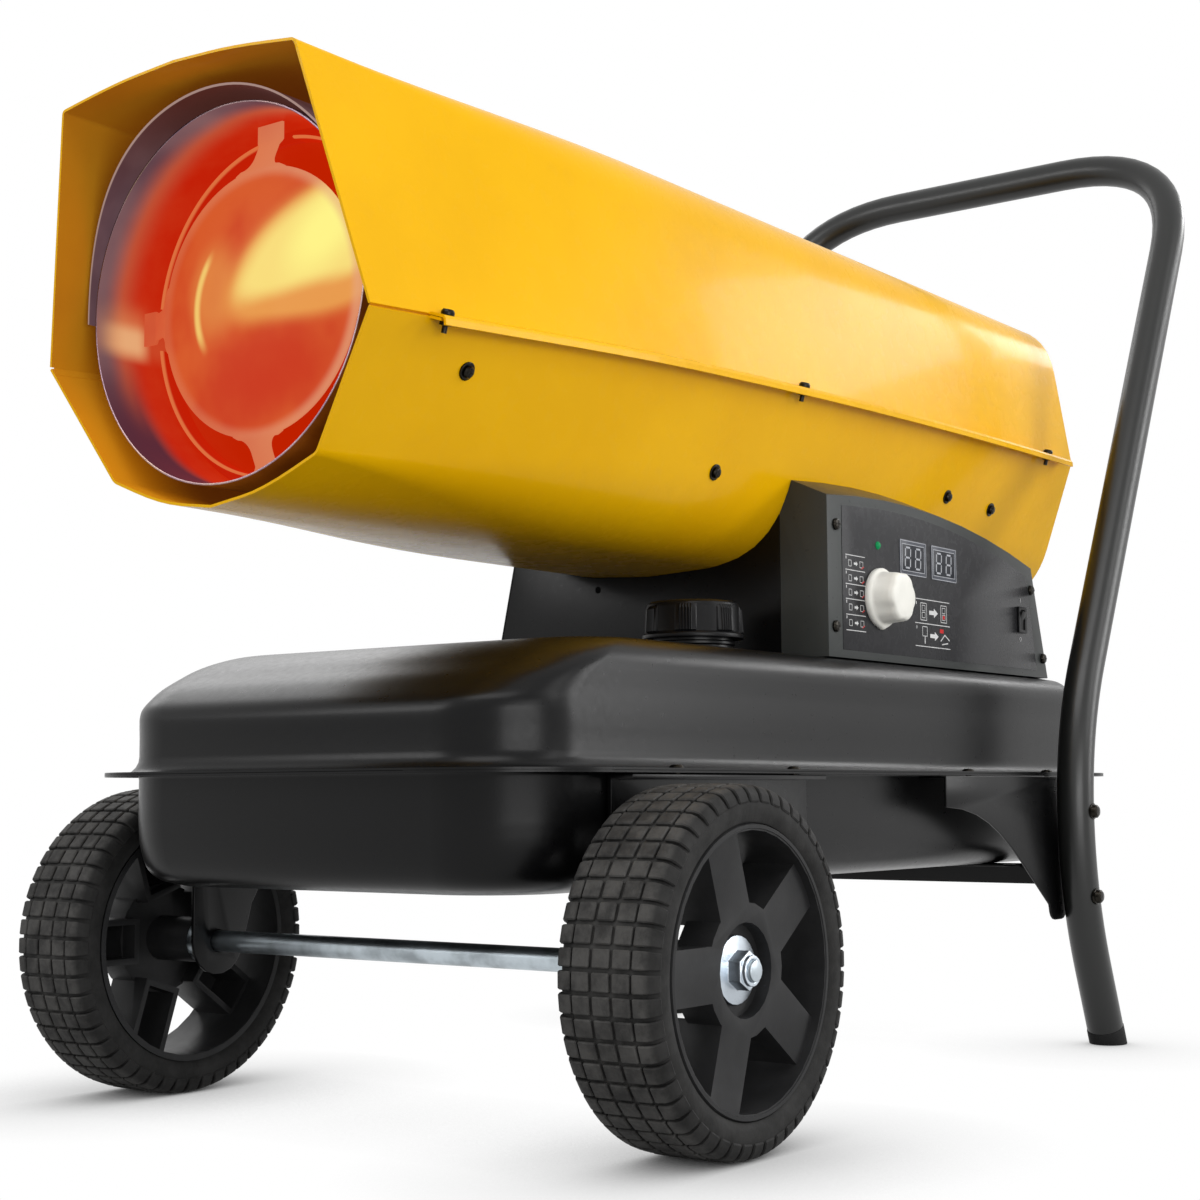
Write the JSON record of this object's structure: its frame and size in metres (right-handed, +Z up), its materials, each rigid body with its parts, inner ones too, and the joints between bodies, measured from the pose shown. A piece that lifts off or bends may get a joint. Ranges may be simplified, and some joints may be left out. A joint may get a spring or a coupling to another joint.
{
  "type": "forced air heater",
  "caption": "Wheeled forced air heater: angular yellow barrel over a pressed black fuel tank, control box beneath it, combustion chamber and fan inside, wheels in front, U-shaped tube handle.",
  "frame": {"origin": "on the floor plane, under the middle of the overall length and width", "axes": "+X to the side with the control panel, +Y to the rear with the handle, away from the hot air outlet, +Z up"},
  "size_m": [0.5072, 1.0424, 0.796],
  "materials": {
    "yellow_paint": "gloss",
    "black_paint": "satin",
    "black_plastic": "satin",
    "rubber": "matte",
    "tyre": "matte",
    "zinc": "satin",
    "heated_steel": "satin",
    "glowing_steel": "matte",
    "aluminium": "satin",
    "brass": "satin",
    "ivory_plastic": "gloss",
    "ceramic": "gloss",
    "lamp": "gloss",
    "display": "gloss",
    "board": "satin",
    "hose": "satin"
  },
  "bodies": {
    "frame": {"air_hose": "hose", "axle": "zinc", "burner_head": "aluminium", "cable_gland": "black_plastic", "chamber_ring": "glowing_steel", "combustion_chamber": "heated_steel", "control_board": "board", "control_cover": "black_paint", "deflector_disc": "glowing_steel", "display_board": "display", "drain_plug": "zinc", "filler_strainer": "zinc", "flame_sensor": "black_plastic", "front_chamber_bracket": "heated_steel", "fuel_hose": "hose", "fuel_nozzle": "brass", "fuel_pickup": "brass", "handle": "black_paint", "heat_shield": "heated_steel", "ignition_transformer": "black_plastic", "left_axle_bracket": "black_paint", "left_axle_nut": "zinc", "left_axle_spacer": "zinc", "left_foot": "rubber", "left_gusset": "black_paint", "lower_shell": "yellow_paint", "motor": "black_paint", "motor_bracket": "black_paint", "power_lamp": "lamp", "pump_body": "aluminium", "pump_cover": "aluminium", "rear_brace": "black_paint", "rear_chamber_bracket": "heated_steel", "rear_guard": "black_paint", "right_axle_bracket": "black_paint", "right_axle_nut": "zinc", "right_axle_spacer": "zinc", "right_foot": "rubber", "right_gusset": "black_paint", "right_side_cover": "black_paint", "spark_plug": "ceramic", "support_frame": "black_paint", "switch_body": "black_plastic", "tank_lower": "black_paint", "tank_upper": "black_paint", "thermostat_body": "black_plastic", "upper_shell": "yellow_paint"},
    "left_wheel": {"left_tyre": "tyre", "left_rim": "black_plastic"},
    "right_wheel": {"right_tyre": "tyre", "right_rim": "black_plastic"},
    "fan_train": {"fan": "aluminium", "motor_shaft": "zinc", "pump_rotor": "zinc"},
    "thermostat_dial": {"thermostat_knob": "ivory_plastic", "thermostat_spindle": "zinc"},
    "rocker": {"switch_rocker": "black_plastic"},
    "cap_seal": {"fuel_cap_seal": "rubber"},
    "cap": {"fuel_cap": "black_plastic"}
  },
  "joints": [
    {"name": "left_wheel_spin", "type": "hinge", "parent": "frame", "child": "left_wheel", "pos_m": [0.2216, -0.3218, 0.1016], "axis": [1, 0, 0], "continuous": true},
    {"name": "right_wheel_spin", "type": "hinge", "parent": "frame", "child": "right_wheel", "pos_m": [-0.2216, -0.3218, 0.1016], "axis": [1, 0, 0], "continuous": true},
    {"name": "fan_spin", "type": "hinge", "parent": "frame", "child": "fan_train", "pos_m": [0, 0.0932, 0.484], "axis": [0, 1, 0], "continuous": true},
    {"name": "thermostat_turn", "type": "hinge", "parent": "frame", "child": "thermostat_dial", "pos_m": [0.15, 0.0122, 0.336], "axis": [1, 0, 0], "range_deg": [-135, 135]},
    {"name": "rocker_tilt", "type": "hinge", "parent": "frame", "child": "rocker", "pos_m": [0.148, 0.2502, 0.336], "axis": [0, -1, 0], "range_deg": [0, 20]},
    {"name": "fuel_cap_rise", "type": "slide", "parent": "frame", "child": "cap_seal", "axis": [0, 0, 1], "range_m": [0, 0.004]},
    {"name": "fuel_cap_turn", "type": "hinge", "parent": "cap_seal", "child": "cap", "pos_m": [0.086, -0.1318, 0.318], "axis": [0, 0, 1], "range_deg": [0, 360]}
  ],
  "couplings": [
    {"joint": "fuel_cap_rise", "follows": "fuel_cap_turn", "m_per_rad": 0.000636}
  ]
}
